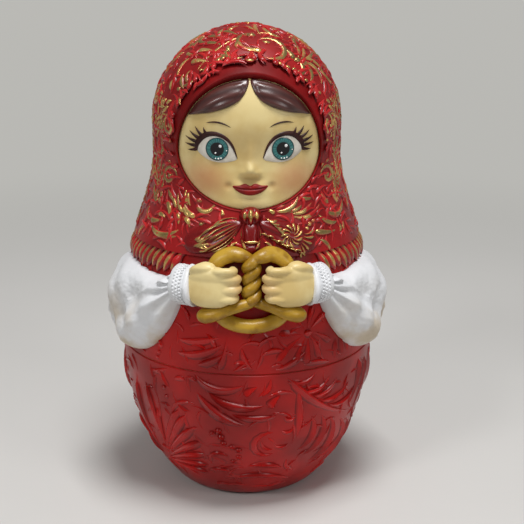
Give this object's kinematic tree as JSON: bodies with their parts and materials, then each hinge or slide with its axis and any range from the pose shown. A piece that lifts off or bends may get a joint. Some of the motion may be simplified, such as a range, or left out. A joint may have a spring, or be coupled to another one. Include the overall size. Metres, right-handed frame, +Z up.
{
  "type": "nesting doll",
  "caption": "Dressed nesting doll that parts at the waist, with a headscarf, modelled face and arms holding a pretzel, and smaller dolls inside",
  "frame": {"origin": "middle of the flat foot, on the surface that the doll stands on", "axes": "+Z up through the crown, the doll faces -Y, +X is the doll's own left"},
  "size_m": [0.1508, 0.1451, 0.25],
  "materials": {
    "red_shell": "gloss red lacquer over turned wood",
    "red_clay": "gloss red with gilded relief",
    "bare_wood": "bare turned wood",
    "skin": "satin cream paint",
    "eye_glass": "polished glass over a painted iris",
    "ink": "dark brown paint",
    "lip_red": "gloss red paint",
    "hair": "gloss dark brown",
    "white_cloth": "pearl white paint",
    "crust": "gloss ochre with brown shading",
    "inner_shell": "gloss paint over turned wood"
  },
  "bodies": {
    "lower_half": {"lower_shell": "red_shell"},
    "collar": {"waist_collar": "bare_wood"},
    "upper_half": {"upper_shell": "red_shell", "headscarf": "red_clay", "scarf_roll": "red_clay", "scarf_fringe": "red_clay", "scarf_knot": "red_clay", "scarf_tail_left": "red_clay", "scarf_tail_right": "red_clay", "face_plate": "skin", "eye_left": "eye_glass", "eye_right": "eye_glass", "lashes_left": "ink", "lashes_right": "ink", "brow_left": "ink", "brow_right": "ink", "lips": "lip_red", "hair_left": "hair", "hair_right": "hair", "sleeve_left": "white_cloth", "sleeve_right": "white_cloth", "cuff_left": "white_cloth", "cuff_right": "white_cloth", "hand_left": "skin", "hand_right": "skin", "pretzel": "crust"},
    "doll_2_base": {"doll_2_lower": "inner_shell"},
    "doll_2_top": {"doll_2_upper": "inner_shell"},
    "doll_3_base": {"doll_3_lower": "inner_shell"},
    "doll_3_top": {"doll_3_upper": "inner_shell"},
    "doll_4_base": {"doll_4_lower": "inner_shell"},
    "doll_4_top": {"doll_4_upper": "inner_shell"},
    "doll_5": {"doll_5": "inner_shell"}
  },
  "joints": [
    {"name": "waist_twist", "type": "hinge", "parent": "lower_half", "child": "collar", "pos_m": [0, 0, 0.082], "axis": [0, 0, 1], "continuous": true},
    {"name": "upper_lift", "type": "slide", "parent": "collar", "child": "upper_half", "axis": [0, 0, 1], "range_m": [0, 0.45]},
    {"name": "doll_2_rise", "type": "slide", "parent": "lower_half", "child": "doll_2_base", "axis": [0, 0, 1], "range_m": [0, 0.04]},
    {"name": "doll_2_lift", "type": "slide", "parent": "doll_2_base", "child": "doll_2_top", "axis": [0, 0, 1], "range_m": [0, 0.305]},
    {"name": "doll_3_rise", "type": "slide", "parent": "doll_2_base", "child": "doll_3_base", "axis": [0, 0, 1], "range_m": [0, 0.035]},
    {"name": "doll_3_lift", "type": "slide", "parent": "doll_3_base", "child": "doll_3_top", "axis": [0, 0, 1], "range_m": [0, 0.185]},
    {"name": "doll_4_rise", "type": "slide", "parent": "doll_3_base", "child": "doll_4_base", "axis": [0, 0, 1], "range_m": [0, 0.03]},
    {"name": "doll_4_lift", "type": "slide", "parent": "doll_4_base", "child": "doll_4_top", "axis": [0, 0, 1], "range_m": [0, 0.085]},
    {"name": "doll_5_rise", "type": "slide", "parent": "doll_4_base", "child": "doll_5", "axis": [0, 0, 1], "range_m": [0, 0.025]}
  ],
  "couplings": [
    {"joint": "doll_2_rise", "follows": "upper_lift", "ratio": 0.088888},
    {"joint": "doll_2_lift", "follows": "upper_lift", "ratio": 0.67778},
    {"joint": "doll_3_rise", "follows": "upper_lift", "ratio": 0.077777},
    {"joint": "doll_3_lift", "follows": "upper_lift", "ratio": 0.41111},
    {"joint": "doll_4_rise", "follows": "upper_lift", "ratio": 0.066666},
    {"joint": "doll_4_lift", "follows": "upper_lift", "ratio": 0.18889},
    {"joint": "doll_5_rise", "follows": "upper_lift", "ratio": 0.055555}
  ]
}
